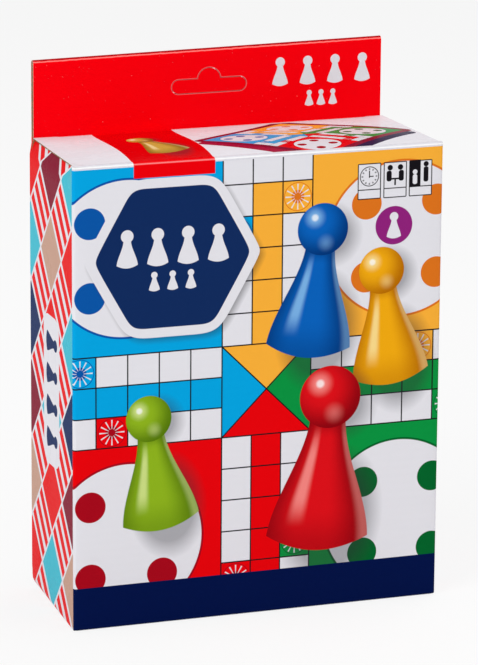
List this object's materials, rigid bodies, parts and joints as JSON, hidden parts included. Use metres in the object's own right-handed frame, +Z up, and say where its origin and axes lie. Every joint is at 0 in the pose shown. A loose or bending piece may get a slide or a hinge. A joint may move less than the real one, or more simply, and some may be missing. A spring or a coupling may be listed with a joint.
{
  "type": "travel ludo game",
  "caption": "Upright printed carton with a hang tab and a tuck-in lid, holding a folding ludo board, pawns, a die and a rules leaflet.",
  "frame": {"origin": "middle of the footprint, on the surface that the box stands on", "axes": "+Z up, the printed front faces -Y, +X to the right as one looks at the front"},
  "size_m": [0.155, 0.06, 0.223],
  "materials": {
    "printed_carton": "micro-flute board with a gloss printed sheet outside and plain grey board inside",
    "red_carton": "micro-flute board with a gloss red printed sheet outside",
    "game_board": "grey board with matt paper pasted on both sides",
    "hinge_tape": "linen tape",
    "leaflet_paper": "uncoated paper",
    "die_plastic": "moulded, with black painted pips",
    "blue_plastic": "moulded",
    "yellow_plastic": "moulded",
    "green_plastic": "moulded",
    "red_plastic": "moulded"
  },
  "bodies": {
    "carton": {"front_panel": "printed_carton", "left_panel": "printed_carton", "right_panel": "printed_carton", "glue_flap": "printed_carton", "bottom_panel": "printed_carton", "bottom_tuck_flap": "printed_carton", "left_bottom_flap": "printed_carton", "right_bottom_flap": "printed_carton", "back_panel": "red_carton", "hang_tab_front": "red_carton", "board_quarter_blue": "game_board", "board_quarter_yellow": "game_board", "board_quarter_green": "game_board", "board_quarter_red": "game_board", "board_spine_tape": "hinge_tape", "board_back_tape": "hinge_tape", "board_front_tape": "hinge_tape", "rules_leaflet": "leaflet_paper", "die": "die_plastic", "pawn_blue_1": "blue_plastic", "pawn_blue_2": "blue_plastic", "pawn_blue_3": "blue_plastic", "pawn_blue_4": "blue_plastic", "pawn_yellow_1": "yellow_plastic", "pawn_yellow_2": "yellow_plastic", "pawn_yellow_3": "yellow_plastic", "pawn_yellow_4": "yellow_plastic", "pawn_green_1": "green_plastic", "pawn_green_2": "green_plastic", "pawn_green_3": "green_plastic", "pawn_green_4": "green_plastic", "pawn_red_1": "red_plastic", "pawn_red_2": "red_plastic", "pawn_red_3": "red_plastic", "pawn_red_4": "red_plastic"},
    "lid": {"lid": "printed_carton"},
    "tuck_flap": {"lid_tuck_flap": "printed_carton"},
    "left_dust_flap": {"left_dust_flap": "printed_carton"},
    "right_dust_flap": {"right_dust_flap": "printed_carton"},
    "slot_plug": {"hang_slot_plug": "red_carton"}
  },
  "joints": [
    {"name": "lid_hinge", "type": "hinge", "parent": "carton", "child": "lid", "pos_m": [0, -0.03, 0.19], "axis": [1, 0, 0], "range_deg": [0, 180]},
    {"name": "tuck_crease", "type": "hinge", "parent": "lid", "child": "tuck_flap", "pos_m": [0, 0.0252, 0.1885], "axis": [-1, 0, 0], "range_deg": [0, 35]},
    {"name": "left_dust_crease", "type": "hinge", "parent": "carton", "child": "left_dust_flap", "pos_m": [-0.0705, 0, 0.1867], "axis": [0, 1, 0], "range_deg": [0, 80]},
    {"name": "right_dust_crease", "type": "hinge", "parent": "carton", "child": "right_dust_flap", "pos_m": [0.0705, 0, 0.1867], "axis": [0, -1, 0], "range_deg": [0, 80]},
    {"name": "plug_push", "type": "slide", "parent": "carton", "child": "slot_plug", "axis": [0, 1, 0], "range_m": [0, 0.015]}
  ]
}
